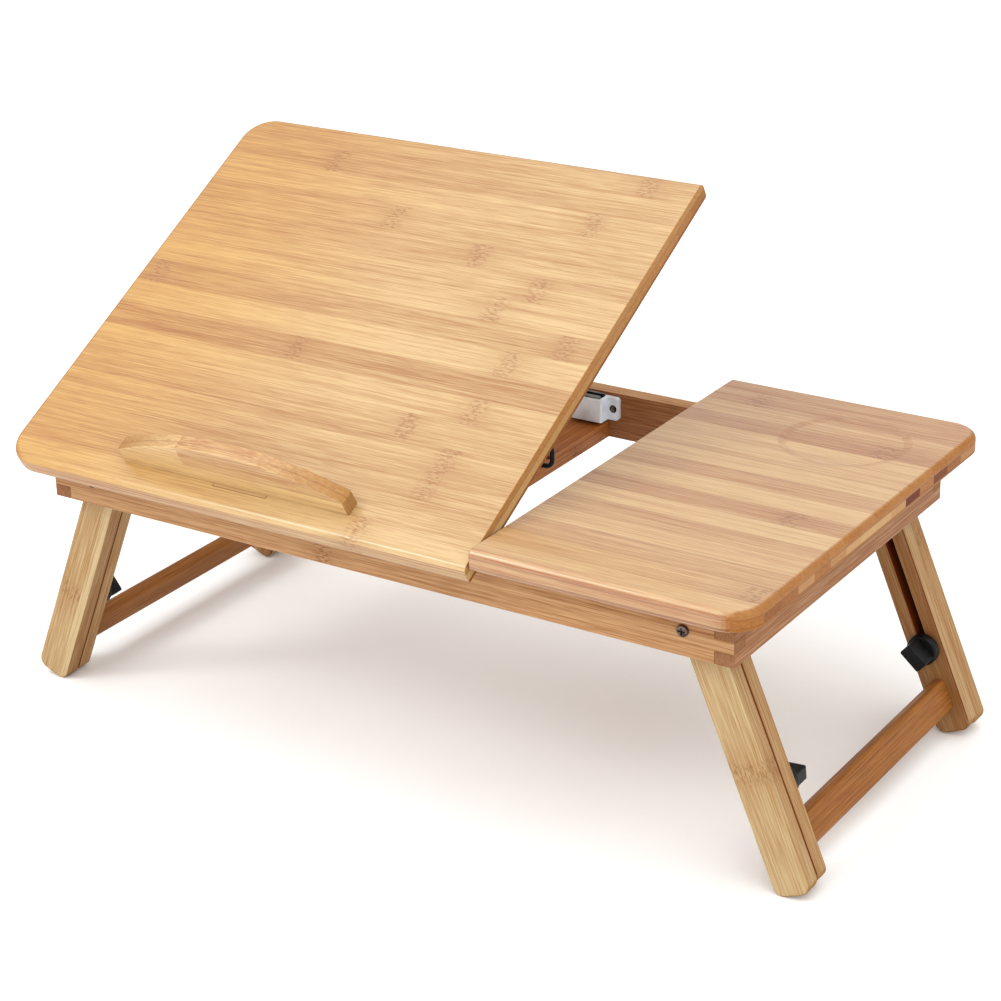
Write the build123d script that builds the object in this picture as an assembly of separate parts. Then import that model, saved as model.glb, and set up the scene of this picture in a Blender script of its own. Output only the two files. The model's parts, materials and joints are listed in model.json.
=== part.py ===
from build123d import *
import math
import os

# Folding laptop table of bamboo, standing open with its left top tilted.
# Millimetres, +X to the right as seen from the front, +Y to the back, +Z up.
# The origin is on the floor under the middle of the table.

# Tops
top_length = 500.0          # both tops together, left to right
top_depth = 300.0
top_thickness = 12.0
fixed_top_width = 167.5     # the right top, which does not tilt
split_gap = 1.0             # between the two tops
corner_radius = 20.0
edge_round = 4.0            # upper edge all round
edge_chamfer = 1.2          # lower edge all round
overhang_side = 18.5        # tops beyond the end rails
overhang_front = 21.0       # tops beyond the front and back rails
cup_diameter = 78.0
cup_depth = 0.8
cup_slope = 5.0             # width of the sloping side of the cup recess
cup_inset = 62.0            # cup centre from the right and back edges

# Frame of four rails with finger joints, and the rail across its middle
rail_height = 30.0
rail_thickness = 11.5
finger_count = 4
cross_rail_width = 22.0
cross_rail_height = 7.5
rack_height = 3.5           # notched strip glued on the cross rail
notch_count = 5
notch_pitch = 8.0
notch_depth = 1.6
tenon_length = 6.0
tenon_shoulder = 2.5        # cross rail tenon is this much smaller all round
dowel_diameter = 6.0
dowel_in_rail = 11.0
dowel_in_top = 7.0
dowel_spread = (0.16, 0.52) # shares of the fixed top's width, from its left edge
end_dowel_spread = 0.4      # share of the top's depth between the end rail's dowels

# Tilted top and its two hinges
tilt_angle = 29.2
seat_gap = 0.4              # tilting top over the rails when it is shut
hinge_inset = 55.0          # hinge middle from each end of the tilting top
leaf_length = 33.0
leaf_thickness = 1.2
leaf_margin = 1.0           # leaf to the inner edge of the rail
knuckle_diameter = 4.6
knuckle_gap = 0.3
hinge_pin_diameter = 2.2
groove_clearance = 0.4      # round the knuckles in the tilting top

# Stop ledge on the tilting top
ledge_length = 162.0
ledge_depth = 10.0
ledge_end_height = 10.5
ledge_middle_height = 28.5
ledge_setback = 16.0        # from the front edge of the top
ledge_end_round = 1.2       # upright edges at both ends
ledge_round = 0.8           # upper edge all round
key_length = 38.0           # inlay under the ledge
key_offset = 5.0            # inlay to the right of the ledge's middle
key_margin = 2.0            # inlay in front of the ledge and behind it
key_thickness = 5.0

# Wire prop under the tilting top
wire_diameter = 3.0
wire_half_span = 23.3       # middle of the table to the middle of each wire leg
wire_bend = 4.5             # bend radius of the middle of the wire
prop_lean = 38.0            # wire leg against the level
prop_foot_y = 30.0
prop_foot_height = 12.0     # upright end of each wire leg
prop_foot_gap = 0.5         # foot bar over the teeth of the rack
prop_pin_depth = 9.0        # bent wire end in the pivot block
prop_pin_drop = 3.6         # pivot under the top
block_depth = 14.0
block_height = 8.0
block_side_gap = 0.6        # pivot block to the bends of the wire

# Magnetic catch on the back rail
catch_width = 24.0
catch_depth = 11.5
catch_ear_width = 7.5
catch_ear_thickness = 3.0
catch_wall = 2.0
catch_bottom_gap = 2.0      # catch over the rack strip
catch_top_gap = 2.0         # catch under the top of the rails
plate_thickness = 1.5
magnet_thickness = 4.0
strike_length = 30.0
strike_depth = 12.0
strike_thickness = 1.2

# Legs: an outer leg on a pivot screw and an inner leg that slides along it
leg_width = 22.5
leg_thickness = 11.0
leg_length = 160.0          # pivot to the cut end of the foot
leg_splay = 22.5
leg_stop_gap = 0.3          # leg to the end rail that stops it
leg_gap = 0.5               # leg to the rail, filled by a washer
slide_gap = 0.3             # outer leg to inner leg
slide_step = 1.0            # inner leg ends this much higher
leg_ease = 0.6              # small chamfer along the legs
foot_round = 6.0
clamp_from_foot = 56.0      # clamp bolt to the end of the foot, along the leg
slot_from_pivot = 19.0      # upper end of the slot below the pivot
slot_clearance = 0.3        # each side of the bolt in the slot
stretcher_from_foot = 25.0  # middle of the stretcher to the end of the foot
stretcher_height = 20.0
stretcher_width = 9.0
stretcher_round = 3.0
stretcher_seat = 8.0        # length of the stretcher inside each inner leg
brad_diameter = 1.8
brad_bite = 3.25            # nail inside the stretcher

# Screws, bolts and knobs
pivot_diameter = 5.0
pivot_head_diameter = 7.0
pivot_head_height = 2.0
pivot_head_round = 1.2
cross_slot_length = 4.2     # cross recess in the pivot screw's head
cross_slot_width = 1.0
cross_slot_depth = 1.2
barrel_wall = 1.0           # nut's barrel round the pivot screw
barrel_margin = 2.0         # leg left beyond the end of the barrel
flange_diameter = 12.0
flange_thickness = 1.4
washer_diameter = 13.0
bolt_diameter = 5.0
bolt_cover = 2.5            # leg left over the hidden end of the bolt
bolt_in_knob = 12.0
clamp_washer_thickness = 1.2
knob_diameter = 19.0
knob_base_height = 5.0
knob_rim_round = 1.5
fin_length = 15.4
fin_thickness = 8.6
fin_height = 11.3
fin_turns = {(-1, -1): -31.0, (-1, 1): 64.0, (1, -1): -18.0, (1, 1): -64.0}  # by side and end
fin_side_round = 1.2
fin_top_round = 0.8
insert_wall = 0.75          # threaded insert round the bolt
insert_margin = 2.0         # insert beyond the end of the bolt
screw_diameter = 3.0
screw_head_diameter = 5.2
screw_length = 9.0
top_screw_margin = 2.6      # screws in the tilting top end this far under its face
ledge_screw_bite = 7.4      # ledge screws inside the ledge
ledge_screw_margin = 8.0    # ledge screws beyond each end of the inlaid key

# Clearances
running_clearance = 0.06    # round shafts that turn or slide in a hole
moving_gap = 0.3            # between faces that pass each other

# Places that follow from the sizes above
splay = math.radians(leg_splay)
tilt = math.radians(tilt_angle)
lean = math.radians(prop_lean)
frame_half_x = top_length / 2 - overhang_side
frame_half_y = top_depth / 2 - overhang_front
inner_half_x = frame_half_x - rail_thickness
inner_half_y = frame_half_y - rail_thickness
pivot_z = ((leg_length - foot_round) * math.cos(splay) + foot_round
           + (leg_width / 2 - foot_round) * math.sin(splay))
frame_bottom = pivot_z - rail_height / 2
frame_top = frame_bottom + rail_height
table_top = frame_top + top_thickness
pivot_x = (inner_half_x - leg_stop_gap - rail_height / 2 * math.tan(splay)
           - leg_width / 2 / math.cos(splay))
clamp_position = leg_length - clamp_from_foot
slide_travel = clamp_position - slot_from_pivot
stretcher_position = leg_length - stretcher_from_foot
split_right = top_length / 2 - fixed_top_width
split_left = split_right - split_gap
tilt_middle = (split_left - top_length / 2) / 2
tilt_bottom = frame_top + seat_gap
hinge_y = -frame_half_y - knuckle_diameter / 2 - moving_gap
hinge_z = frame_top + seat_gap / 2
leaf_back = -inner_half_y - leaf_margin
rack_bottom = frame_bottom + cross_rail_height
rack_top = rack_bottom + rack_height
leg_outer_face = inner_half_y - leg_gap
leg_inner_face = leg_outer_face - leg_thickness
slide_outer_face = leg_inner_face - slide_gap
slide_inner_face = slide_outer_face - leg_thickness
screw_head_height = (screw_head_diameter - screw_diameter) / 2
top_screw_length = table_top - tilt_bottom - top_screw_margin
ledge_screw_length = table_top - tilt_bottom + ledge_screw_bite
catch_height = frame_top - catch_top_gap - rack_top - catch_bottom_gap
slot_width = bolt_diameter + 2 * slot_clearance
brad_length = (leg_width - stretcher_width) / 2 + brad_bite
barrel_diameter = pivot_diameter + 2 * barrel_wall
barrel_length = leg_thickness - flange_thickness - 2 * moving_gap - barrel_margin
insert_diameter = bolt_diameter + 2 * insert_wall
insert_length = bolt_in_knob + insert_margin
tilted = (Pos(0, hinge_y, hinge_z) * Rot(X=tilt_angle)
          * Pos(0, -hinge_y, -hinge_z))


def block(x0, x1, y0, y1, z0, z1):
    # box between two corners, given in any order
    middle = Pos((x0 + x1) / 2, (y0 + y1) / 2, (z0 + z1) / 2)
    return middle * Box(abs(x1 - x0), abs(y1 - y0), abs(z1 - z0))


def rod_x(diameter, x0, x1, y, z):
    turned = Pos((x0 + x1) / 2, y, z) * Rot(Y=90)
    return turned * Cylinder(diameter / 2, abs(x1 - x0))


def rod_y(diameter, y0, y1, x=0.0, z=0.0):
    turned = Pos(x, (y0 + y1) / 2, z) * Rot(X=90)
    return turned * Cylinder(diameter / 2, abs(y1 - y0))


def rod_z(diameter, z0, z1, x=0.0, y=0.0):
    return Pos(x, y, (z0 + z1) / 2) * Cylinder(diameter / 2, abs(z1 - z0))


def flat_screw(length):
    # countersunk screw pointing down, the top of its head at the origin
    head = Pos(0, 0, -screw_head_height / 2) * Cone(
        screw_diameter / 2, screw_head_diameter / 2, screw_head_height)
    return head + rod_z(screw_diameter, -length, -screw_head_height)


def flat_screws(places, length, face_z, upward=False):
    # countersunk screws at x, y places in a level face, one solid each
    turn = Rot(X=180) if upward else Rot(X=0)
    return [Pos(x, y, face_z) * turn * flat_screw(length) for x, y in places]


def less(solid, tools):
    for tool in tools:
        solid = solid - tool
    return solid


def save(name, *solids):
    shape = solids[0] if len(solids) == 1 else Compound(children=list(solids))
    export_step(shape, f"parts/{name}.step")


# Tops


def slab(bottom, top):
    # rounded board of both tops before they are parted
    outline = RectangleRounded(top_length, top_depth, corner_radius)
    board = Pos(0, 0, bottom) * extrude(outline, top - bottom)
    board = fillet(board.faces().sort_by(Axis.Z)[-1].edges(), edge_round)
    return chamfer(board.faces().sort_by(Axis.Z)[0].edges(), edge_chamfer)


def dowel_places():
    # under the fixed top: two in the front and back rails, two in the end rail
    rail_middle_y = inner_half_y + rail_thickness / 2
    rail_middle_x = inner_half_x + rail_thickness / 2
    across = [split_right + share * fixed_top_width for share in dowel_spread]
    end_y = end_dowel_spread * top_depth / 2
    places = [(x, y) for x in across for y in (-rail_middle_y, rail_middle_y)]
    return places + [(rail_middle_x, y) for y in (-end_y, end_y)]


def dowels():
    return [rod_z(dowel_diameter, frame_top - dowel_in_rail, frame_top + dowel_in_top, x, y)
            for x, y in dowel_places()]


def fixed_top():
    half = block(split_right, top_length, -top_depth, top_depth, frame_top, table_top)
    board = slab(frame_top, table_top) & half
    cup = Cone(cup_diameter / 2 - cup_slope, cup_diameter / 2 + cup_slope, 2 * cup_depth)
    cup = Pos(top_length / 2 - cup_inset, top_depth / 2 - cup_inset, table_top) * cup
    return less(board, [cup] + dowels())


def tilt_top():
    half = block(-top_length, split_left, -top_depth, top_depth, tilt_bottom, table_top)
    board = slab(tilt_bottom, table_top) & half
    tools = [ledge_key(), strike_plate(), *ledge_screws(), *strike_screws()]
    tools += [*hinge_top_screws(), *block_screws()]
    for x in hinge_places():
        half_leaf = leaf_length / 2
        tools.append(rod_x(knuckle_diameter + 2 * groove_clearance,
                           x - half_leaf - moving_gap, x + half_leaf + moving_gap,
                           hinge_y, hinge_z))
        tools.append(block(x - half_leaf, x + half_leaf, hinge_y, leaf_back,
                           tilt_bottom, tilt_bottom + leaf_thickness))
    return less(board, tools)


# Stop ledge


def ledge_front():
    return -top_depth / 2 + ledge_setback


def stop_ledge():
    half = ledge_length / 2
    arch = ThreePointArc((half, ledge_end_height), (0, ledge_middle_height),
                         (-half, ledge_end_height))
    sides = Polyline((-half, ledge_end_height), (-half, 0), (half, 0),
                     (half, ledge_end_height))
    outline = Plane.XZ * make_face([arch, sides])
    board = extrude(outline, ledge_depth, dir=(0, 1, 0))
    board = fillet(board.edges().filter_by(Axis.Z), min(ledge_end_round, 0.45 * ledge_depth))
    board = fillet(board.faces().sort_by(Axis.Z)[-1].edges(), ledge_round)
    board = Pos(tilt_middle, ledge_front(), table_top) * board
    return less(board, ledge_screws())


def ledge_key():
    back = ledge_front() + ledge_depth + key_margin
    middle = tilt_middle + key_offset
    return block(middle - key_length / 2, middle + key_length / 2,
                 ledge_front() - key_margin, back, table_top - key_thickness, table_top)


def ledge_screws():
    y = ledge_front() + ledge_depth / 2
    reach = key_length / 2 + ledge_screw_margin
    middle = tilt_middle + key_offset
    places = [(middle + side * reach, y) for side in (-1, 1)]
    return flat_screws(places, ledge_screw_length, tilt_bottom, upward=True)


# Hinges


def hinge_places():
    return (-top_length / 2 + hinge_inset, split_left - hinge_inset)


def knuckle_span(x, third):
    # one third of a hinge barrel, counted from the left
    length = leaf_length / 3
    start = x - leaf_length / 2 + third * length
    return start + knuckle_gap / 2, start + length - knuckle_gap / 2


def hinge_leaf(x, thirds, bottom, screws, bore):
    # leaf with its share of the barrel, before the top is tilted
    leaf = block(x - leaf_length / 2, x + leaf_length / 2, hinge_y, leaf_back,
                 bottom, bottom + leaf_thickness)
    clear = knuckle_diameter + 2 * groove_clearance
    for third in range(3):
        low, high = knuckle_span(x, third)
        if third in thirds:
            leaf = leaf + rod_x(knuckle_diameter, low, high, hinge_y, hinge_z)
        else:
            leaf = leaf - rod_x(clear, low - knuckle_gap, high + knuckle_gap, hinge_y, hinge_z)
    pin_hole = rod_x(bore, x - leaf_length, x + leaf_length, hinge_y, hinge_z)
    return less(leaf, [pin_hole] + screws)


def hinge_screw_places():
    y = (-frame_half_y + leaf_back) / 2
    return [(x + side * leaf_length / 3, y) for x in hinge_places() for side in (-1, 1)]


def hinge_rail_screws():
    return flat_screws(hinge_screw_places(), screw_length, frame_top)


def hinge_top_screws():
    return flat_screws(hinge_screw_places(), top_screw_length, tilt_bottom, upward=True)


def hinge_rail_leaves():
    return [hinge_leaf(x, (0, 2), frame_top - leaf_thickness, hinge_rail_screws(),
                       hinge_pin_diameter) for x in hinge_places()]


def hinge_top_leaves():
    return [hinge_leaf(x, (1,), tilt_bottom, hinge_top_screws(),
                       hinge_pin_diameter + 2 * running_clearance) for x in hinge_places()]


def hinge_pins():
    return [rod_x(hinge_pin_diameter, x - leaf_length / 2, x + leaf_length / 2, hinge_y, hinge_z)
            for x in hinge_places()]


# Prop


def prop_points():
    # foot, knee and pivot of the wire as it stands, as y, z pairs
    foot_z = rack_top + prop_foot_gap + wire_diameter / 2
    knee_z = foot_z + prop_foot_height
    # the pivot lies where the line up from the knee meets the line under the top
    under = tilt_bottom - hinge_z - prop_pin_drop
    line_y = hinge_y - under * math.sin(tilt)
    line_z = hinge_z + under * math.cos(tilt)
    across = (prop_foot_y - line_y) * math.sin(lean) - (line_z - knee_z) * math.cos(lean)
    along = across / math.sin(lean + tilt)
    pivot = (line_y + along * math.cos(tilt), line_z + along * math.sin(tilt))
    return (prop_foot_y, foot_z), (prop_foot_y, knee_z), pivot, along


def prop_wire():
    foot, knee, pivot, along = prop_points()
    pin_end = block_half() - prop_pin_depth
    half = [(pin_end, *pivot), (wire_half_span, *pivot), (wire_half_span, *knee),
            (wire_half_span, *foot)]
    other = [(-x, y, z) for x, y, z in reversed(half)]
    path = FilletPolyline(*half, *other, radius=wire_bend)
    start = Plane(origin=half[0], z_dir=(1, 0, 0))
    return sweep(start * Circle(wire_diameter / 2), path=path)


def block_half():
    return wire_half_span - wire_bend - block_side_gap


def block_middle():
    # pivot block's place along the top while it is shut
    return hinge_y + prop_points()[3]


def pivot_block():
    y, z = block_middle(), tilt_bottom - prop_pin_drop
    bar = block(-block_half(), block_half(), y - block_depth / 2, y + block_depth / 2,
                tilt_bottom - block_height, tilt_bottom)
    lower = bar.faces().sort_by(Axis.Z)[0].edges().filter_by(Axis.X)
    bar = fillet(lower, edge_round / 2)
    hole = wire_diameter + 2 * running_clearance
    depth = prop_pin_depth + moving_gap
    holes = [rod_x(hole, side * (block_half() - depth), side * (block_half() + depth), y, z)
             for side in (-1, 1)]
    return less(bar, holes + block_screws())


def block_screws():
    places = [(side * block_half() / 4, block_middle()) for side in (-1, 1)]
    return flat_screws(places, block_height + top_screw_length, tilt_bottom - block_height,
                       upward=True)


# Catch


def catch_bottom():
    return rack_top + catch_bottom_gap


def plate_places():
    # y of the front face of each steel plate
    front = inner_half_y - catch_depth + catch_wall
    return front, front + plate_thickness + magnet_thickness


def catch_half_core():
    return catch_width / 2 - catch_wall


def catch_screw_places():
    z = catch_bottom() + catch_height / 2
    return [(side * (catch_width + catch_ear_width) / 2, z) for side in (-1, 1)]


def catch_screws():
    face = inner_half_y - catch_ear_thickness
    return [Pos(x, face, z) * Rot(X=90) * flat_screw(screw_length)
            for x, z in catch_screw_places()]


def catch_plates():
    half = catch_half_core()
    low = catch_bottom() + catch_wall
    return [block(-half, half, y, y + plate_thickness, low, frame_top - moving_gap)
            for y in plate_places()]


def catch_magnet():
    half = catch_half_core()
    front, back = plate_places()
    low = catch_bottom() + catch_wall
    return block(-half, half, front + plate_thickness, back, low,
                 catch_bottom() + catch_height - catch_wall / 2)


def catch_body():
    low, high = catch_bottom(), catch_bottom() + catch_height
    half = catch_width / 2
    body = block(-half, half, inner_half_y - catch_depth, inner_half_y, low, high)
    body = fillet(body.edges().filter_by(Axis.Z).group_by(Axis.Y)[0], catch_wall / 2)
    reach = half + catch_ear_width
    ears = block(-reach, reach, inner_half_y - catch_ear_thickness, inner_half_y, low, high)
    ears = fillet(ears.edges().filter_by(Axis.Y), catch_wall)
    front, back = plate_places()
    core = catch_half_core()
    hollow = block(-core, core, front, back + plate_thickness, low + catch_wall, high)
    return less(body + ears, [hollow] + catch_screws())


def strike_middle():
    front, back = plate_places()
    return (front + back + plate_thickness) / 2


def strike_plate():
    y = strike_middle()
    plate = block(-strike_length / 2, strike_length / 2, y - strike_depth / 2,
                  y + strike_depth / 2, tilt_bottom, tilt_bottom + strike_thickness)
    return less(plate, strike_screws())


def strike_screws():
    places = [(side * strike_length / 3, strike_middle()) for side in (-1, 1)]
    return flat_screws(places, top_screw_length, tilt_bottom, upward=True)


# Frame


def finger_levels():
    height = rail_height / finger_count
    return [(frame_bottom + i * height, frame_bottom + (i + 1) * height)
            for i in range(finger_count)]


def long_rail(end):
    # front rail for -1, back rail for 1; keeps every second finger
    y0, y1 = end * inner_half_y, end * frame_half_y
    rail = block(-frame_half_x, frame_half_x, y0, y1, frame_bottom, frame_top)
    for low, high in finger_levels()[::2]:
        for side in (-1, 1):
            rail = rail - block(side * inner_half_x, side * frame_half_x, y0, y1, low, high)
    return less(rail, [*pivot_screws(end), cross_rail(), *dowels()])


def end_rail(side):
    # left rail for -1, right rail for 1
    x0, x1 = side * inner_half_x, side * frame_half_x
    rail = block(x0, x1, -frame_half_y, frame_half_y, frame_bottom, frame_top)
    for low, high in finger_levels()[1::2]:
        for end in (-1, 1):
            rail = rail - block(x0, x1, end * inner_half_y, end * frame_half_y, low, high)
    return less(rail, dowels())


def front_rail():
    rail = long_rail(-1)
    for x in hinge_places():
        rail = rail - block(x - leaf_length / 2, x + leaf_length / 2, -frame_half_y,
                            leaf_back, frame_top - leaf_thickness, frame_top)
    return less(rail, hinge_rail_screws())


def back_rail():
    return less(long_rail(1), catch_screws())


def cross_rail():
    half = cross_rail_width / 2
    rail = block(-half, half, -inner_half_y, inner_half_y, frame_bottom, rack_bottom)
    reach = inner_half_y + tenon_length
    tenon = block(-half + tenon_shoulder, half - tenon_shoulder, -reach, reach,
                  frame_bottom + tenon_shoulder, rack_bottom - tenon_shoulder)
    return rail + tenon


def notch_places():
    middle = (notch_count - 1) / 2
    return [prop_foot_y + (i - middle) * notch_pitch for i in range(notch_count)]


def rack_strip():
    half = cross_rail_width / 2
    strip = block(-half, half, -inner_half_y, inner_half_y, rack_bottom, rack_top)
    for y in notch_places():
        # upright wall at the back, ramp at the front
        wall = y + wire_diameter / 2 + moving_gap
        ramp = y - notch_pitch / 2
        section = make_face(Polyline((ramp, rack_top), (wall, rack_top),
                                     (wall, rack_top - notch_depth), close=True))
        strip = strip - extrude(Plane.YZ * section, half, both=True)
    return strip


# Legs


def leg_place(side):
    # pivot of a leg; its length runs down local -Z before the splay
    return Pos(side * pivot_x, 0, pivot_z) * Rot(Y=-side * leg_splay)


def leg_board(y0, y1, length):
    half = leg_width / 2
    board = block(-half, half, y0, y1, -length, 0) + rod_y(leg_width, y0, y1)
    board = fillet(board.edges().filter_by(Axis.Y).group_by(Axis.Z)[0], foot_round)
    return chamfer(board.edges().filter_by(Axis.Z), leg_ease)


def outer_leg(end):
    y0, y1 = end * leg_inner_face, end * leg_outer_face
    board = leg_board(y0, y1, leg_length)
    bore = pivot_diameter + 2 * running_clearance
    sleeve = barrel_diameter + 2 * running_clearance
    flange_depth = flange_thickness + 2 * moving_gap
    tools = [rod_y(bore, y0, y1),
             rod_y(sleeve, y0, end * (leg_inner_face + flange_depth + barrel_length)),
             rod_y(flange_diameter + 2 * moving_gap, y0,
                   end * (leg_inner_face + flange_depth)),
             clamp_bolt(end)]
    return less(board, tools)


def inner_leg(side, end):
    y0, y1 = end * slide_inner_face, end * slide_outer_face
    board = leg_board(y0, y1, leg_length - slide_step)
    low, high = -clamp_position, -clamp_position + slide_travel
    slot = block(-slot_width / 2, slot_width / 2, y0, y1, low, high)
    ends = [rod_y(slot_width, y0, y1, z=z) for z in (low, high)]
    return less(board, [slot, *ends, stretcher_bar(), *brads(side, end)])


def stretcher_bar():
    reach = slide_inner_face + stretcher_seat
    bar = block(-stretcher_width / 2, stretcher_width / 2, -reach, reach,
                -stretcher_position - stretcher_height / 2,
                -stretcher_position + stretcher_height / 2)
    return fillet(bar.edges().filter_by(Axis.Y), min(stretcher_round, 0.45 * stretcher_width))


def brads(side, end):
    # two small nails through the inner side of the inner leg into the stretcher
    y = end * (slide_inner_face + stretcher_seat / 2)
    face = -side * leg_width / 2
    return [rod_x(brad_diameter, face, face + side * brad_length, y,
                  -stretcher_position + step * stretcher_height / 5) for step in (-1, 1)]


def stretcher(side):
    return less(stretcher_bar(), brads(side, -1) + brads(side, 1))


# Pivots, clamp bolts and knobs


def pivot_screw(side, end):
    # pan head outside the rail, shank through rail and leg to the flange nut
    face, tip = end * frame_half_y, end * (leg_inner_face + 2 * moving_gap)
    x, z = side * pivot_x, pivot_z
    head_top = end * (frame_half_y + pivot_head_height)
    head = rod_y(pivot_head_diameter, face, head_top, x, z)
    rim = head.faces().sort_by(Axis.Y)[0 if end < 0 else -1].edges()
    head = fillet(rim, pivot_head_round)
    slot_floor = head_top - end * cross_slot_depth
    arms = (cross_slot_length, cross_slot_width)
    for wide, tall in (arms, arms[::-1]):
        head = head - block(x - wide / 2, x + wide / 2, slot_floor, head_top,
                            z - tall / 2, z + tall / 2)
    return head + rod_y(pivot_diameter, face, tip, x, z)


def pivot_screws(end):
    return [pivot_screw(side, end) for side in (-1, 1)]


def pivot_nut(side, end):
    # flange nut let into the inner face of the outer leg
    x, z = side * pivot_x, pivot_z
    start = leg_inner_face + moving_gap
    flange = rod_y(flange_diameter, end * start, end * (start + flange_thickness), x, z)
    barrel = rod_y(barrel_diameter, end * start,
                   end * (start + flange_thickness + barrel_length), x, z)
    return (flange + barrel) - pivot_screw(side, end)


def pivot_washer(side, end):
    x, z = side * pivot_x, pivot_z
    ring = rod_y(washer_diameter, end * inner_half_y, end * (leg_outer_face + moving_gap / 2), x, z)
    return ring - pivot_screw(side, end)


def clamp_bolt(end):
    # headless bolt screwed into the outer leg from its inner face, out through the slot
    hidden_end = leg_outer_face - bolt_cover
    knob_base = slide_inner_face - 2 * moving_gap - clamp_washer_thickness
    return rod_y(bolt_diameter, end * hidden_end, end * (knob_base - bolt_in_knob),
                 z=-clamp_position)


def clamp_washer(end):
    face = slide_inner_face - moving_gap
    ring = rod_y(washer_diameter, end * face, end * (face - clamp_washer_thickness),
                 z=-clamp_position)
    return ring - clamp_bolt(end)


def knob_place(side, end):
    # knob axis up local +Z, pointing from the leg to the middle of the table
    base = slide_inner_face - 2 * moving_gap - clamp_washer_thickness
    turn = Rot(X=90) if end > 0 else Rot(X=-90)
    return leg_place(side) * Pos(0, end * base, -clamp_position) * turn


def knob_insert():
    tube = rod_z(insert_diameter, 0, insert_length)
    return tube - rod_z(bolt_diameter + 2 * running_clearance, 0, bolt_in_knob + moving_gap)


def knob(side, end):
    base = rod_z(knob_diameter, 0, knob_base_height)
    base = fillet(base.faces().sort_by(Axis.Z)[-1].edges(), knob_rim_round)
    fin = block(-fin_length / 2, fin_length / 2, -fin_thickness / 2, fin_thickness / 2,
                0, knob_base_height + fin_height)
    fin = fillet(fin.edges().filter_by(Axis.Z), fin_side_round)
    fin = fillet(fin.faces().sort_by(Axis.Z)[-1].edges(), fin_top_round)
    # the fin's turn is against the leg's width, seen from the front
    body = base + Rot(Z=end * fin_turns[side, end]) * fin
    return body - rod_z(insert_diameter, 0, insert_length)


def save_frame():
    save("front_rail", front_rail())
    save("back_rail", back_rail())
    save("left_rail", end_rail(-1))
    save("right_rail", end_rail(1))
    save("cross_rail", cross_rail())
    save("rack_strip", rack_strip())
    save("fixed_top", fixed_top())
    save("fixed_top_dowels", *dowels())
    save("catch_body", catch_body())
    save("catch_magnet", catch_magnet())
    save("catch_plates", *catch_plates())
    save("catch_screws", *catch_screws())
    save("hinge_rail_leaves", *hinge_rail_leaves())
    save("hinge_pins", *hinge_pins())
    save("hinge_rail_screws", *hinge_rail_screws())
    sides = [(side, end) for side in (-1, 1) for end in (-1, 1)]
    save("leg_pivot_screws", *[pivot_screw(*s) for s in sides])
    save("leg_pivot_nuts", *[pivot_nut(*s) for s in sides])
    save("leg_pivot_washers", *[pivot_washer(*s) for s in sides])


def save_tilting_top():
    save("tilt_top", tilted * tilt_top())
    save("stop_ledge", tilted * stop_ledge())
    save("ledge_key", tilted * ledge_key())
    save("ledge_screws", *[tilted * s for s in ledge_screws()])
    save("strike_plate", tilted * strike_plate())
    save("strike_screws", *[tilted * s for s in strike_screws()])
    save("hinge_top_leaves", *[tilted * s for s in hinge_top_leaves()])
    save("hinge_top_screws", *[tilted * s for s in hinge_top_screws()])
    save("pivot_block", tilted * pivot_block())
    save("pivot_block_screws", *[tilted * s for s in block_screws()])
    save("prop_wire", prop_wire())


def save_legs(side, word):
    place = leg_place(side)
    for end, where in ((-1, "front"), (1, "rear")):
        save(f"{where}_{word}_leg", place * outer_leg(end))
        save(f"{where}_{word}_sliding_leg", place * inner_leg(side, end))
        save(f"{where}_{word}_knob", knob_place(side, end) * knob(side, end))
        save(f"{where}_{word}_knob_insert", knob_place(side, end) * knob_insert())
    save(f"{word}_clamp_bolts", *[place * clamp_bolt(end) for end in (-1, 1)])
    save(f"{word}_clamp_washers", *[place * clamp_washer(end) for end in (-1, 1)])
    save(f"{word}_stretcher", place * stretcher(side))
    nails = brads(side, -1) + brads(side, 1)
    save(f"{word}_stretcher_brads", *[place * nail for nail in nails])


os.makedirs("parts", exist_ok=True)
save_frame()
save_tilting_top()
save_legs(-1, "left")
save_legs(1, "right")
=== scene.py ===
import json
import math
import random
import bmesh
import bpy
import numpy as np
from mathutils import Matrix, Vector


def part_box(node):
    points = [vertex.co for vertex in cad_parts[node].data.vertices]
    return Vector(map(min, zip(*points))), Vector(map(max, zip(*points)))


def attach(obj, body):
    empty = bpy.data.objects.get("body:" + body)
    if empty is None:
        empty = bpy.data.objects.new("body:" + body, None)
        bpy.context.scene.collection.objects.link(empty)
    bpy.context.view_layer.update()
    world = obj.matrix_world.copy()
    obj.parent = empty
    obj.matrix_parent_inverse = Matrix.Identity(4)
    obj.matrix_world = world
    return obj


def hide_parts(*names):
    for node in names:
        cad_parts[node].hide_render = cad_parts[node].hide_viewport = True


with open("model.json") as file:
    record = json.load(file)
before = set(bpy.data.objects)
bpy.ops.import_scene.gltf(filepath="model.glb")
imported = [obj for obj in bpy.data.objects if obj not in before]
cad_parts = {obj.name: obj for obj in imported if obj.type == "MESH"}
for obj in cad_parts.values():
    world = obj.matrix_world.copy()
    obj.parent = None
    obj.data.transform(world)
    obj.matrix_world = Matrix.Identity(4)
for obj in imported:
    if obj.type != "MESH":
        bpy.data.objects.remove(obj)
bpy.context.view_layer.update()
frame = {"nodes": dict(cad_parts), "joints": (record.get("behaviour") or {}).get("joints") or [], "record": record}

nodes = frame["nodes"]
joints = {joint["name"]: joint for joint in frame["joints"]}
bodies = frame["record"]["behaviour"]["bodies"]
bodyOf = {node: body for body, members in bodies.items() for node in members}
slotOf = {entry["node"]: entry["material_slot"] for entry in frame["record"]["subparts"]}
print("frame loaded:", len(nodes), "nodes")

mm = 0.001
lengthwise = Vector((1, 0, 0))      # to the right
depthwise = Vector((0, 1, 0))       # to the back
upward = Vector((0, 0, 1))


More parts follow.
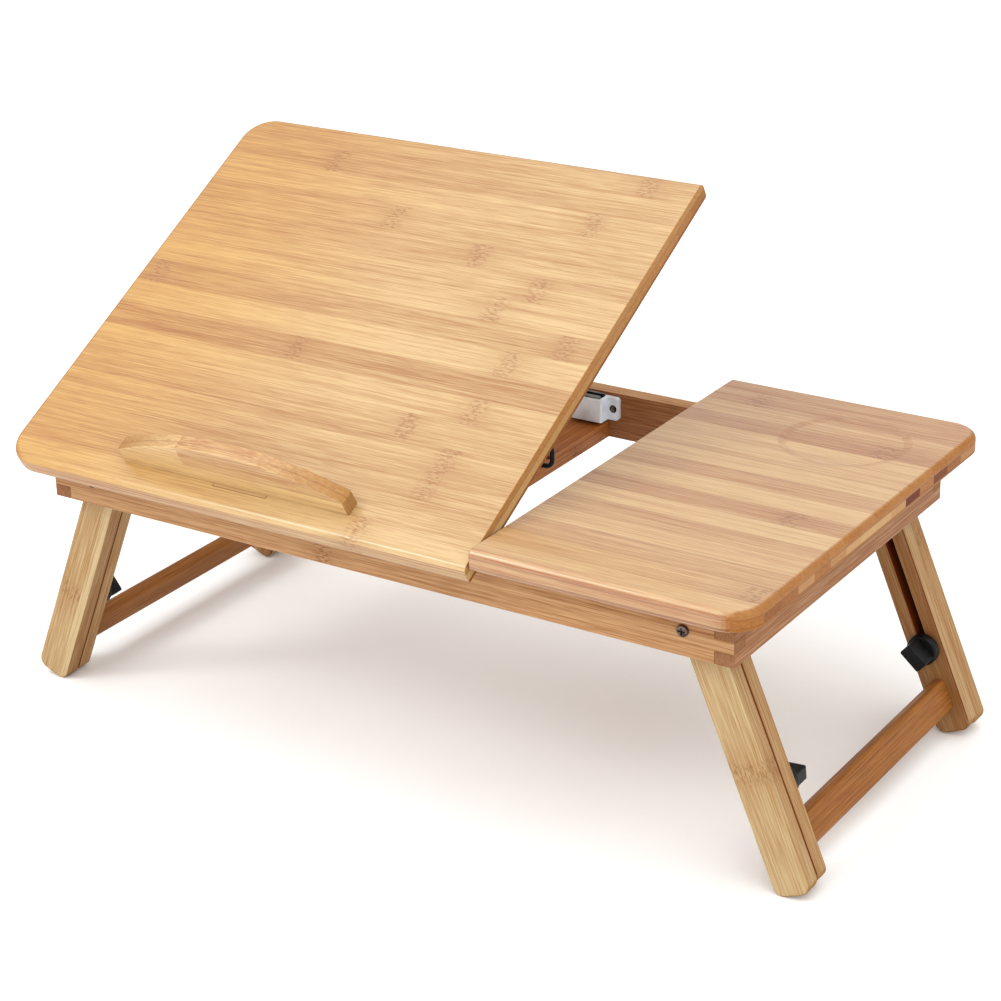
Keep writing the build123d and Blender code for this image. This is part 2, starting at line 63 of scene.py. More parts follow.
def putInScene(thing):
    bpy.context.scene.collection.objects.link(thing)


# Camera

cameraView = {
    "azimuth": 33.397,          # degrees to the right of the front
    "elevation": 23.139,        # degrees above the floor
    "roll": -1.468,
    "distance": 1.44516,        # metres from the target
    "target": (0.05172, -0.07072, 0.170),
    "focalPixels": 2571.7,
    "imagePixels": 1001,
    "sensor": 36.0,             # mm
}


def makeCamera(view):
    azimuth, elevation, roll = (math.radians(view[key]) for key in ("azimuth", "elevation", "roll"))
    back = Vector((math.sin(azimuth) * math.cos(elevation),
                   -math.cos(azimuth) * math.cos(elevation), math.sin(elevation)))
    level = Vector((math.cos(azimuth), math.sin(azimuth), 0))
    rise = back.cross(level)
    right = level * math.cos(roll) + rise * math.sin(roll)
    up = rise * math.cos(roll) - level * math.sin(roll)
    data = bpy.data.cameras.new("tableCamera")
    data.sensor_width = view["sensor"]
    data.lens = view["sensor"] * view["focalPixels"] / view["imagePixels"]
    camera = bpy.data.objects.new("tableCamera", data)
    place = Matrix((right, up, back)).transposed().to_4x4()
    place.translation = Vector(view["target"]) + back * view["distance"]
    camera.matrix_world = place
    putInScene(camera)
    bpy.context.scene.camera = camera


makeCamera(cameraView)
print("camera set")


# Shader helpers

mixSockets = {"factor": 0, "first": 6, "second": 7, "result": 2}     # of a Mix node set to colours


def tint(red, green, blue):
    # a colour on the 0 to 255 scale, taken off the sRGB curve for the shader
    parts = [value / 255 for value in (red, green, blue)]
    return [part / 12.92 if part <= 0.04045 else ((part + 0.055) / 1.055) ** 2.4 for part in parts] + [1.0]


def feed(tree, socket, value):
    if isinstance(value, bpy.types.NodeSocket):
        tree.links.new(value, socket)
    else:
        socket.default_value = value


def sums(tree, operation, first, second=0.0, third=0.0, clamp=False):
    node = tree.nodes.new("ShaderNodeMath")
    node.operation = operation
    node.use_clamp = clamp
    for socket, value in zip(node.inputs, (first, second, third)):
        feed(tree, socket, value)
    return node.outputs[0]


def spread(tree, value, low, high, outLow=0.0, outHigh=1.0):
    # a soft step from outLow at low to outHigh at high, which may be the lower of the two
    node = tree.nodes.new("ShaderNodeMapRange")
    node.interpolation_type = "SMOOTHSTEP"
    for socket, given in zip(node.inputs, (value, low, high, outLow, outHigh)):
        feed(tree, socket, given)
    return node.outputs[0]


def blendColour(tree, factor, first, second, way="MIX"):
    node = tree.nodes.new("ShaderNodeMix")
    node.data_type = "RGBA"
    node.blend_type = way
    for key, value in (("factor", factor), ("first", first), ("second", second)):
        feed(tree, node.inputs[mixSockets[key]], value)
    return node.outputs[mixSockets["result"]]


def vectorSum(tree, operation, first, second):
    node = tree.nodes.new("ShaderNodeVectorMath")
    node.operation = operation
    feed(tree, node.inputs[0], first)
    feed(tree, node.inputs[1], second)
    return node.outputs[0]


def sameSize(cycles):
    return (cycles, cycles, cycles)


def cloud(tree, point, look):
    # noise with its own size per axis, in cycles per millimetre on wood and per metre elsewhere
    node = tree.nodes.new("ShaderNodeTexNoise")
    node.inputs["Scale"].default_value = 1.0
    node.inputs["Detail"].default_value = look["detail"]
    node.inputs["Roughness"].default_value = look["rough"]
    feed(tree, node.inputs["Vector"], vectorSum(tree, "MULTIPLY", point, look["size"]))
    if "limits" in look:
        return spread(tree, node.outputs[0], *look["limits"])
    return node.outputs[0]


def facts(tree, name):
    node = tree.nodes.new("ShaderNodeAttribute")
    node.attribute_name = name
    return node.outputs["Vector"]


def split(tree, vector):
    node = tree.nodes.new("ShaderNodeSeparateXYZ")
    feed(tree, node.inputs[0], vector)
    return node.outputs


def localPoint(tree):
    return tree.nodes.new("ShaderNodeTexCoord").outputs["Object"]


def surface(name):
    material = bpy.data.materials.new(name)
    material.use_nodes = True
    tree = material.node_tree
    return material, tree, tree.nodes["Principled BSDF"]


def relief(tree, shader, height, strength, depth):
    bump = tree.nodes.new("ShaderNodeBump")
    bump.inputs["Strength"].default_value = strength
    bump.inputs["Distance"].default_value = depth
    feed(tree, bump.inputs["Height"], height)
    tree.links.new(bump.outputs[0], shader.inputs["Normal"])


# Bamboo finishes

topLayers = {
    "pitch": 18.8, "offset": -0.5,      # strips across the depth, in mm
    "plies": (-4.6, -9.6),              # glue lines under the face
}
topJoints = ((topLayers["pitch"], topLayers["offset"]),)
ledgeLayer = 11.0                       # mm from the foot of the stop ledge to its joint
ledgeJoints = ((60.0, 0.0), (60.0, ledgeLayer))     # pitches past its height give one line each

# reach is how much a strip's tone counts, streaks how much its fibres do
# clear is how strong the glue lines are on faint and on clear strips, coat and shine are the varnish

bambooLooks = {
    "tilt_top_bamboo": {
        "pale": tint(195, 164, 114), "deep": tint(152, 104, 55),
        "end": tint(168, 121, 70), "knot": tint(130, 75, 36),
        "plies": topLayers["plies"], "joints": topJoints, "clear": (0.05, 0.45),
        "reach": 0.28, "streaks": 0.6, "coat": 0.5, "shine": 0.5, "warmEnd": 0.9},
    "fixed_top_bamboo": {
        "pale": tint(199, 164, 114), "deep": tint(152, 99, 57),
        "end": tint(153, 98, 47), "knot": tint(112, 66, 38),
        "plies": topLayers["plies"], "joints": topJoints, "clear": (0.05, 0.45),
        "reach": 0.26, "streaks": 0.5, "coat": 0.85, "shine": 0.5},
    "ledge_bamboo": {
        "pale": tint(206, 172, 118), "deep": tint(160, 110, 64),
        "end": tint(156, 112, 62), "knot": tint(122, 76, 42),
        "plies": (-4.6,), "joints": ledgeJoints, "clear": (0.4, 0.55),
        "reach": 0.5, "streaks": 0.65, "coat": 0.3, "shine": 0.5},
    "rail_bamboo": {
        "pale": tint(187, 146, 104), "deep": tint(141, 92, 54),
        "end": tint(135, 94, 68), "knot": tint(98, 54, 22),
        "reach": 0.3, "streaks": 0.8, "coat": 0.03, "shine": 0.08},
    # inner pieces take deeper colours, partly their own wood and partly painted shade inside the frame
    "inner_bamboo": {
        "pale": tint(168, 102, 44), "deep": tint(118, 66, 26),
        "end": tint(92, 52, 24), "knot": tint(80, 44, 20),
        "reach": 0.3, "streaks": 0.65, "coat": 0.04, "shine": 0.1},
    "leg_bamboo": {
        "pale": tint(184, 162, 122), "deep": tint(147, 104, 58),
        "end": tint(148, 110, 62), "knot": tint(120, 74, 38),
        "reach": 0.34, "streaks": 0.7, "coat": 0.05, "shine": 0.1},
    # the stretchers take deeper colours, partly their own wood and partly painted shade under the table
    "stretcher_bamboo": {
        "pale": tint(146, 92, 40), "deep": tint(112, 66, 28),
        "end": tint(100, 58, 24), "knot": tint(84, 46, 18),
        "reach": 0.3, "streaks": 1.0, "coat": 0.04, "shine": 0.1},
}

noJoint = 5000.0        # mm along the grain, past the end of any board

# Noise sizes are along, across and through the board, and a pair of widths is where a mark starts and is full

grainLook = {
    "middleTone": 0.42, "darkestTone": -1.3,
    "seedShift": 97.0,                          # mm between the noise of strips
    # long fibres, short fibres and a broad change of colour
    "fibre": {"size": (0.013, 0.85, 0.85), "detail": 3.0, "rough": 0.6, "limits": (0.3, 0.7), "reach": 0.75},
    "dash": {"size": (0.05, 1.5, 1.5), "detail": 2.0, "rough": 0.5, "limits": (0.3, 0.7), "reach": 0.6},
    "drift": {"size": (0.004, 0.14, 0.14), "detail": 2.0, "rough": 0.5, "reach": 0.8},
    # short dark vessels, and vessels on a cut end
    "vessel": {"size": (0.06, 1.9, 1.9), "detail": 2.0, "rough": 0.5, "limits": (0.58, 0.72), "share": 0.22},
    "dot": {"size": (0.2, 0.45, 1.3), "detail": 3.0, "rough": 0.6, "limits": (0.38, 0.66), "share": 0.5},
    # spots at a joint of the culm, and how far such a joint wanders
    "freckle": {"size": (0.30, 0.95, 0.95), "detail": 1.0, "rough": 0.6,
                "limits": (0.46, 0.62), "share": 0.52},
    "waver": {"size": (0.02, 0.16, 0.16), "detail": 1.0, "rough": 0.55, "reach": 6.0},
    "jointBand": (10.0, 2.0), "jointHalo": (30.0, 2.0), "haloShare": 0.25,
    "glueWidth": (0.5, 0.1), "glueSeeds": (0.35, 0.8),      # mm, and seeds of faint and clear strips
    "plyWidth": (0.55, 0.15), "plyShare": 0.4,
    "endLight": (0.16, 0.06),                   # by strip tone, and on every cut end
    "endShare": 0.9, "endSoak": 0.92,           # how far end grain hides the face, and takes up the varnish
    "shadow": tint(162, 92, 46), "shadowTones": (-1.5, -4.5),
    "warmth": tint(244, 221, 162), "warmSpan": (0.0, -250.0),       # mm along the board
    "rough": 0.34, "fibreRough": 0.22, "spotRough": 0.12, "coatRough": 0.16,
    "dashHeight": 0.5, "vesselHeight": -0.6, "spotHeight": -0.5,
    "reliefStrength": 0.3, "reliefDepth": 0.00012,
}


def boardFacts(tree):
    # what each board carries: its grain axes, the tone, seed and end grain of a strip, and its culm joints
    grain = facts(tree, "grain")
    along, across, through = split(tree, grain)
    tone, seed, cut = split(tree, facts(tree, "strip"))
    apart = tree.nodes.new("ShaderNodeCombineXYZ")
    for socket in apart.inputs:
        tree.links.new(sums(tree, "MULTIPLY", seed, grainLook["seedShift"]), socket)
    return {"along": along, "across": across, "through": through, "tone": tone, "seed": seed, "cut": cut,
            "growth": split(tree, facts(tree, "growth")),
            "point": vectorSum(tree, "ADD", grain, apart.outputs[0])}


def grainNoise(tree, wood, kind):
    return cloud(tree, wood["point"], grainLook[kind])


def offCentre(tree, value, reach, base):
    # adds noise around 0.5 to a tone, as much to the dark as to the light
    return sums(tree, "MULTIPLY_ADD", sums(tree, "SUBTRACT", value, 0.5), reach, base)


def fibreColour(tree, wood, look):
    kinds = ("fibre", "dash", "drift", "vessel")
    fibre, dash, drift, vessel = (grainNoise(tree, wood, kind) for kind in kinds)
    # darker pieces are shaded later, so that their grain still shows
    held = sums(tree, "MAXIMUM", wood["tone"], grainLook["darkestTone"])
    tone = sums(tree, "MULTIPLY_ADD", held, -look["reach"], grainLook["middleTone"])
    tone = offCentre(tree, fibre, grainLook["fibre"]["reach"] * look["streaks"], tone)
    tone = offCentre(tree, dash, grainLook["dash"]["reach"] * look["streaks"], tone)
    tone = offCentre(tree, drift, grainLook["drift"]["reach"], tone)
    colour = blendColour(tree, tone, look["pale"], look["deep"])
    dark = sums(tree, "MULTIPLY", vessel, grainLook["vessel"]["share"])
    return blendColour(tree, dark, colour, look["knot"]), fibre, dash, vessel


def paintedSheenFade(tree, wood, look, colour):
    # painted sheen difference: warmer and deeper towards the left end, standing in for a sheen that is stronger on
    # the right
    warm = spread(tree, wood["along"], *grainLook["warmSpan"], 0.0, look["warmEnd"])
    return blendColour(tree, warm, colour, grainLook["warmth"], "MULTIPLY")


def glueLines(tree, wood, look, colour, pitch, offset):
    # thin lines where the strips meet, clear on some strips and faint on others
    place = sums(tree, "FRACT", sums(tree, "MULTIPLY_ADD", wood["across"], 1.0 / pitch, -offset / pitch))
    gap = sums(tree, "MULTIPLY", sums(tree, "MINIMUM", place, sums(tree, "SUBTRACT", 1.0, place)), pitch)
    clear = spread(tree, wood["seed"], *grainLook["glueSeeds"], *look["clear"])
    line = sums(tree, "MULTIPLY", spread(tree, gap, *grainLook["glueWidth"]), clear)
    return blendColour(tree, line, colour, look["knot"])


def culmJoints(tree, wood, look, colour):
    # a freckled band across one strip
    reach = grainLook["waver"]["reach"]
    waver = sums(tree, "MULTIPLY_ADD", grainNoise(tree, wood, "waver"), reach, -reach / 2)
    nearest = noJoint
    for place in wood["growth"]:
        away = sums(tree, "SUBTRACT", wood["along"], place)
        gap = sums(tree, "ABSOLUTE", sums(tree, "ADD", away, waver))
        nearest = sums(tree, "MINIMUM", gap, nearest)
    band = spread(tree, nearest, *grainLook["jointBand"])
    spots = sums(tree, "MULTIPLY", band, grainNoise(tree, wood, "freckle"))
    halo = spread(tree, nearest, *grainLook["jointHalo"], 0.0, grainLook["haloShare"])
    colour = blendColour(tree, halo, colour, look["deep"])
    share = sums(tree, "MULTIPLY", spots, grainLook["freckle"]["share"])
    return blendColour(tree, share, colour, look["knot"]), spots


def cutEnds(tree, wood, look, colour):
    # cut ends are darker and show the vessels as dots
    dotted = sums(tree, "MULTIPLY", grainNoise(tree, wood, "dot"), grainLook["dot"]["share"])
    cut = blendColour(tree, dotted, look["end"], look["knot"])
    lighter = sums(tree, "MULTIPLY_ADD", wood["tone"], *grainLook["endLight"], clamp=True)
    cut = blendColour(tree, lighter, cut, look["pale"])
    return blendColour(tree, sums(tree, "MULTIPLY", wood["cut"], grainLook["endShare"]), colour, cut)


def darkWoodAndShade(tree, wood, colour):
    # very dark wood, and painted shade: faces given tones far below 0, such as shaded inner faces and slot walls,
    # are darkened by the shadow tint
    dark = spread(tree, wood["tone"], *grainLook["shadowTones"])
    return blendColour(tree, dark, colour, grainLook["shadow"], "MULTIPLY")


def plyLines(tree, wood, look, colour):
    # glue lines between the plies, seen on the edges
    for level in look.get("plies", ()):
        away = sums(tree, "ABSOLUTE", sums(tree, "SUBTRACT", wood["through"], level))
        line = spread(tree, away, *grainLook["plyWidth"], 0.0, grainLook["plyShare"])
        colour = blendColour(tree, line, colour, look["knot"])
    return colour


def varnish(tree, shader, wood, look, fibre, spots):
    gloss = sums(tree, "MULTIPLY_ADD", fibre, grainLook["fibreRough"], grainLook["rough"])
    gloss = sums(tree, "MULTIPLY_ADD", spots, grainLook["spotRough"], gloss)
    tree.links.new(gloss, shader.inputs["Roughness"])
    # cut ends soak up the varnish
    for socket, key in (("Specular IOR Level", "shine"), ("Coat Weight", "coat")):
        level = sums(tree, "MULTIPLY_ADD", wood["cut"], -grainLook["endSoak"] * look[key], look[key])
        tree.links.new(level, shader.inputs[socket])
    shader.inputs["Coat Roughness"].default_value = grainLook["coatRough"]


def bambooFinish(name, look):
    material, tree, shader = surface(name)
    wood = boardFacts(tree)
    colour, fibre, dash, vessel = fibreColour(tree, wood, look)
    if "warmEnd" in look:
        colour = paintedSheenFade(tree, wood, look, colour)
    for pitch, offset in look.get("joints", ()):
        colour = glueLines(tree, wood, look, colour, pitch, offset)
    colour, spots = culmJoints(tree, wood, look, colour)
    colour = cutEnds(tree, wood, look, colour)
    colour = darkWoodAndShade(tree, wood, colour)
    tree.links.new(plyLines(tree, wood, look, colour), shader.inputs["Base Color"])
    varnish(tree, shader, wood, look, fibre, spots)
    height = sums(tree, "MULTIPLY", dash, grainLook["dashHeight"])
    height = sums(tree, "MULTIPLY_ADD", vessel, grainLook["vesselHeight"], height)
    height = sums(tree, "MULTIPLY_ADD", spots, grainLook["spotHeight"], height)
    relief(tree, shader, height, grainLook["reliefStrength"], grainLook["reliefDepth"])
    return material


# Metal finishes

metalLooks = {
    "zinc_steel": {"base": tint(122, 120, 114), "stain": tint(88, 86, 82), "rough": 0.22,
                   "roughReach": 0.25, "metallic": 1.0, "shine": 0.5},
    "dark_screw_steel": {"base": tint(112, 98, 90), "stain": tint(48, 40, 37), "rough": 0.08,
                         "roughReach": 0.2, "metallic": 1.0, "shine": 0.5},
    "black_wire": {"base": tint(8, 8, 9), "stain": tint(16, 15, 15), "rough": 0.22,
                   "roughReach": 0.25, "metallic": 0.0, "shine": 0.15},
    "magnet": {"base": tint(66, 66, 68), "stain": tint(46, 46, 48), "rough": 0.55,
               "roughReach": 0.3, "metallic": 0.0, "shine": 0.5},
}

metalSkin = {
    "grain": {"size": sameSize(900.0), "detail": 4.0, "rough": 0.65},
    "smear": {"size": sameSize(160.0), "detail": 3.0, "rough": 0.6, "limits": (0.35, 0.68)},
    "reliefStrength": 0.25, "reliefDepth": 0.00006,
}


def metalFinish(name, look):
    material, tree, shader = surface(name)
    point = localPoint(tree)
    grain = cloud(tree, point, metalSkin["grain"])
    colour = blendColour(tree, cloud(tree, point, metalSkin["smear"]), look["base"], look["stain"])
    tree.links.new(colour, shader.inputs["Base Color"])
    rough = sums(tree, "MULTIPLY_ADD", grain, look["roughReach"], look["rough"])
    tree.links.new(rough, shader.inputs["Roughness"])
    shader.inputs["Metallic"].default_value = look["metallic"]
    shader.inputs["Specular IOR Level"].default_value = look["shine"]
    relief(tree, shader, grain, metalSkin["reliefStrength"], metalSkin["reliefDepth"])
    return material


# Plastic finishes

plasticLooks = {
    "knob_plastic": {"base": tint(10, 10, 11), "worn": tint(20, 20, 21), "rough": 0.30, "shine": 0.16,
                     "grainSize": 2600.0, "depth": 0.00010, "glow": 0.0},
    "catch_plastic": {"base": tint(216, 223, 231), "worn": tint(198, 205, 212), "rough": 0.30, "shine": 0.3,
                      "grainSize": 1500.0, "depth": 0.00004, "glow": 0.12},
}

plasticSkin = {
    "grain": {"detail": 3.0, "rough": 0.6},
    "patch": {"size": sameSize(120.0), "detail": 3.0, "rough": 0.6, "limits": (0.42, 0.75)},
    "roughReach": 0.22, "glowDepth": 0.003, "reliefStrength": 0.3,
}


def plasticFinish(name, look):
    material, tree, shader = surface(name)
    point = localPoint(tree)
    grain = cloud(tree, point, {**plasticSkin["grain"], "size": sameSize(look["grainSize"])})
    colour = blendColour(tree, cloud(tree, point, plasticSkin["patch"]), look["base"], look["worn"])
    tree.links.new(colour, shader.inputs["Base Color"])
    rough = sums(tree, "MULTIPLY_ADD", grain, plasticSkin["roughReach"], look["rough"])
    tree.links.new(rough, shader.inputs["Roughness"])
    shader.inputs["Specular IOR Level"].default_value = look["shine"]
    shader.inputs["Subsurface Weight"].default_value = look["glow"]
    shader.inputs["Subsurface Scale"].default_value = plasticSkin["glowDepth"]
    relief(tree, shader, grain, plasticSkin["reliefStrength"], look["depth"])
    return material


finishes = {name: bambooFinish(name, look) for name, look in bambooLooks.items()}
finishes.update({name: metalFinish(name, look) for name, look in metalLooks.items()})
finishes.update({name: plasticFinish(name, look) for name, look in plasticLooks.items()})
print("finishes made:", len(finishes))


# Boards: grain runs along the first axis, strips lie side by side along the second, plies along the third

grainAxis, acrossAxis, throughAxis = range(3)

boardWork = {
    "weld": 0.002, "flat": 0.6,             # mm between points that are one, degrees between faces that are
    "edge": 35.0, "edgeSteps": 2,           # degrees from which an edge is rounded, and faces across it
    "rim": 0.02, "longEdge": 6.0,           # mm: edges so near to the outside, or so long, are rounded
    "cutSlack": 1e-7,                       # metres
    "crease": 48.0,                         # degrees from which the shading stays sharp
}


def boardFrame(origin, grain, across):
    grain, across = Vector(grain).normalized(), Vector(across).normalized()
    board = Matrix((grain, across, grain.cross(across))).transposed().to_4x4()
    board.translation = Vector(origin)
    return board


def wholeFaces(bm):
    bmesh.ops.remove_doubles(bm, verts=bm.verts, dist=boardWork["weld"] * mm)
    bmesh.ops.dissolve_limit(bm, angle_limit=math.radians(boardWork["flat"]), verts=bm.verts, edges=bm.edges)


def isRounded(edge, outline):
    # long edges and the outer rim, so that small holes stay crisp
    if len(edge.link_faces) != 2 or edge.calc_face_angle_signed(0.0) < math.radians(boardWork["edge"]):
        return False
    lean = (edge.link_faces[0].normal + edge.link_faces[1].normal).normalized()
    middle = (edge.verts[0].co + edge.verts[1].co) / 2
    outer = (outline @ np.array(lean)).max() <= middle.dot(lean) + boardWork["rim"] * mm
    return outer or edge.calc_length() > boardWork["longEdge"] * mm


def softEdges(bm, width):
    outline = np.array([point.co for point in bm.verts])
    chosen = [edge for edge in bm.edges if isRounded(edge, outline)]
    bmesh.ops.bevel(bm, geom=chosen, offset=width, offset_type="OFFSET", segments=boardWork["edgeSteps"],
                    profile=0.5, affect="EDGES", clamp_overlap=True)


def cutAt(bm, axis, place):
    normal = Vector((0, 0, 0))
    normal[axis] = 1
    everything = bm.verts[:] + bm.edges[:] + bm.faces[:]
    bmesh.ops.bisect_plane(bm, geom=everything, dist=boardWork["cutSlack"],
                           plane_co=normal * place, plane_no=normal)


def stripIndex(layout, across):
    return math.floor((across / mm - layout["offset"]) / layout["pitch"])


def cutStrips(bm, layout):
    reach = [point.co.y for point in bm.verts]
    first, last = stripIndex(layout, min(reach)) + 1, stripIndex(layout, max(reach))
    for index in range(first, last + 1):
        cutAt(bm, acrossAxis, (layout["offset"] + index * layout["pitch"]) * mm)
    for place in sum(layout.get("breaks", {}).values(), ()):
        cutAt(bm, grainAxis, place * mm)
    for level in layout.get("plies", ()):
        cutAt(bm, throughAxis, level * mm)


# Tones: above 0 is paler wood, below 0 deeper, and far below 0 very dark, used both for dark wood and for painted
# shade
# A lean is the share of a face's normal along one of the board's axes

stripWork = {
    "cutFrom": 0.12, "cutSpan": 0.3,                # lean where end grain starts, and from there to full
    "spread": 0.6,                                  # reach of the tones that are drawn
    "cutFade": 0.75, "cutEnd": 0.5,                 # tone lost on a cut end, and the end grain that makes one
    "block": 0.3, "middlePly": 0.7, "lowPly": -1.2, # middle ply at a cut end and elsewhere, lowest ply
    "edgeLean": 0.88, "faceLean": 0.7, "sideLean": 0.7, "slotLean": 0.5,
    "rimLean": 0.95, "cupLean": (0.97, 0.995),      # rims lean less every way, the cup's slope between
    # slot walls take this tone: painted shade, near black, in the deep slot
    "slotTone": -5.0,
    "jointChance": 0.5, "jointReach": 160.0,        # culm joints on boards that list none, in mm
    "jointPlaces": 3,                               # as many as a strip carries
}


def plyTone(layout, face, strip, cut, drawn):
    # the tone that the layout gives a strip, or the drawn one
    index, ply, length = strip
    isCut = cut > stripWork["cutEnd"]
    if "edges" in layout and abs(face.normal.y) > stripWork["edgeLean"]:
        return layout["edges"][ply]
    if ply == 0:
        return layout.get("tones", {}).get(index + length, drawn) * (1 - stripWork["cutFade"] * cut)
    if ply == 1:
        return layout.get("blocks", {}).get(index, stripWork["block"]) if isCut else stripWork["middlePly"]
    return layout.get("lowest", stripWork["lowPly"]) if isCut else stripWork["lowPly"]


def faceTone(layout, face, middle, tone):
    # faces that differ from the rest of their board: painted shade on faces that stand in shade, on slot walls and
    # on the cup's slope, and the key's dark rim
    normal = face.normal
    steep, flat = stripWork["cupLean"]
    if normal.z > stripWork["faceLean"]:
        tone += layout.get("shade", 0.0)
    if abs(normal.y) > stripWork["sideLean"]:
        tone += layout.get("sideShade", 0.0)
    if "slot" in layout and abs(middle.y) < layout["slot"] * mm and abs(normal.y) > stripWork["slotLean"]:
        tone = stripWork["slotTone"]
    if "rim" in layout and max(abs(part) for part in normal) < stripWork["rimLean"]:
        tone = layout["rim"]
    if "cupRing" in layout and steep < normal.z < flat:
        tone -= layout["cupRing"]       # painted shade on the slope of the cup
    return tone


def culmPlaces(layout, index, dice):
    places = list(layout.get("growth", {}).get(index, ()))
    if "growth" not in layout and dice.random() < stripWork["jointChance"]:
        reach = stripWork["jointReach"]
        places = [dice.uniform(-reach, reach), dice.uniform(-reach, reach)]
    most = stripWork["jointPlaces"]
    return (places + [noJoint] * most)[:most]


def stripFacts(node, layout, face):
    # tone, seed and end grain of a face, and the culm joints on it
    middle = face.calc_center_median()
    index = stripIndex(layout, middle.y)
    ply = sum(middle.z / mm < level for level in layout.get("plies", ()))
    length = sum(middle.x / mm > place for place in layout.get("breaks", {}).get(index, ()))
    cut = min(max((abs(face.normal.x) - stripWork["cutFrom"]) / stripWork["cutSpan"], 0.0), 1.0)
    dice = random.Random(f"{node} {index} {ply} {length}")
    drawn = dice.uniform(-1, 1) * layout.get("spread", stripWork["spread"])
    tone = plyTone(layout, face, (index, ply, length), cut, drawn)
    tone = faceTone(layout, face, middle, tone)
    places = culmPlaces(layout, index, dice)
    return (tone, dice.random(), cut), places


def boardMesh(node, board, layout):
    bm = bmesh.new()
    bm.from_mesh(nodes[node].data)
    bmesh.ops.transform(bm, matrix=board.inverted(), verts=bm.verts)
    wholeFaces(bm)
    if "soft" in layout:
        softEdges(bm, layout["soft"] * mm)
    cutStrips(bm, layout)
    bm.normal_update()
    strips, places = zip(*[stripFacts(node, layout, face) for face in bm.faces])
    for face in bm.faces:
        face.smooth = True
    mesh = bpy.data.meshes.new(node + "Board")
    bm.to_mesh(mesh)
    points = np.array([point.co for point in bm.verts], dtype=np.float32) / mm
    bm.free()
    carried = (("grain", "POINT", points), ("strip", "FACE", strips), ("growth", "FACE", places))
    for name, domain, values in carried:
        layer = mesh.attributes.new(name, "FLOAT_VECTOR", domain)
        layer.data.foreach_set("vector", np.asarray(values, dtype=np.float32).ravel())
    mesh.transform(board)
    mesh.set_sharp_from_angle(angle=math.radians(boardWork["crease"]))
    return mesh


def evenNormals(piece):
    even = piece.modifiers.new("evenNormals", "WEIGHTED_NORMAL")
    even.keep_sharp = True


def dress(node, board, layout):
    mesh = boardMesh(node, board, layout)
    mesh.materials.append(finishes[slotOf[node]])
    piece = bpy.data.objects.new(node + "_board", mesh)
    putInScene(piece)
    evenNormals(piece)
    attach(piece, bodyOf[node])
    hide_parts(node)


# Tops, with their strips numbered from -8 at the front to 7 at the back

topBoards = {
    "tiltTones": {-8: 0.8, -7: 0.1, -6: -0.2, -5: 0.15, -4: -0.1, -3: 0.55, -2: -0.75, -1: 0.7, 0: -0.45,
                  1: 0.45, 2: 0.2, 3: -0.1, 4: -0.1, 5: 0.35, 6: -0.25, 7: -0.2},
    # on the fixed top, strips 5 to 7 at the back are set darker as painted shade from the raised tilting top; the
    # other tones are the strips' own
    "fixedTones": {-8: 0.3, -7: 0.1, -6: -0.35, -5: 0.35, -4: -0.25, -3: 0.75, -2: -1.0, -1: 0.8, 0: -0.6,
                   1: 0.45, 2: 0.2, 3: 0.35, 4: -1.3, 5: -0.45, 6: -1.2, 7: -1.1},
    # culm joints, in mm from the middle of the table
    "tiltGrowth": {7: (50,), 6: (-167,), 5: (30,), 4: (-100,), 3: (-29,), 2: (23,), 1: (3,), 0: (61, -235),
                   -1: (33,), -2: (-105,), -3: (31,), -4: (-4,), -5: (33,), -6: (32,), -7: (-160,), -8: (6,)},
    "fixedGrowth": {6: (115,), 4: (214,), -2: (212,), -7: (240,)},
    # pieces of the middle ply that end at the right edge, on the tilting top paler towards its lower end
    "tiltBlocks": {index: 0.6 - 0.45 * index for index in range(-8, 8)},
    "fixedBlocks": {-8: -0.6, -7: -2.7, -6: -2.3, -5: 1.2, -4: -1.6, -3: 0.8, -2: 2.4, -1: 3.0, 0: 2.8,
                    1: 1.6, 2: -4.2, 3: -0.4, 4: -3.6, 5: -2.6, 6: 0.3, 7: 0.3},
    # plies along the front and back edges
    "tiltEdge": (-1.5, -0.7, -2.2), "fixedEdge": (-1.7, -1.0, -2.8),
    "tiltLowest": -3.0,                 # lowest ply at the right edge
    "soft": 0.4, "keySoft": 0.3,        # mm of rounding
    "keyRim": -2.6, "cupRing": 0.7,
}

hinge = Vector(joints["top_tilt"]["pos_m"])
tiltAngle = -math.radians(joints["top_tilt"]["range_deg"][0])      # from flat to the shown tilt
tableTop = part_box("fixed_top")[1].z
tiltTurn = Matrix.Translation(hinge) @ Matrix.Rotation(tiltAngle, 4, "X") @ Matrix.Translation(-hinge)
faceFrame = boardFrame((0, 0, tableTop), lengthwise, depthwise)


def dressTops(plan):
    shared = {**topLayers, "soft": plan["soft"]}
    tilting = {**shared, "tones": plan["tiltTones"], "growth": plan["tiltGrowth"],
               "blocks": plan["tiltBlocks"], "edges": plan["tiltEdge"], "lowest": plan["tiltLowest"]}
    fixed = {**shared, "tones": plan["fixedTones"], "growth": plan["fixedGrowth"],
             "blocks": plan["fixedBlocks"], "edges": plan["fixedEdge"], "cupRing": plan["cupRing"]}
    key = {"pitch": topLayers["pitch"], "offset": topLayers["offset"], "soft": plan["keySoft"],
           "tones": plan["tiltTones"], "growth": {}, "rim": plan["keyRim"]}
    dress("tilt_top", tiltTurn @ faceFrame, tilting)
    dress("fixed_top", faceFrame, fixed)
    dress("ledge_key", tiltTurn @ faceFrame, key)


dressTops(topBoards)
print("tops dressed")


# Stop ledge, glued up from a flat layer and two arched pieces, and the block that holds the prop

ledge = {
    "pitch": 30.0, "offset": ledgeLayer,
    "breaks": {0: (-31.0,)},            # where the two arched pieces meet
    "tones": {-1: 0.3, 0: 0.3, 1: -0.5}, "growth": {}, "soft": 0.3,
}

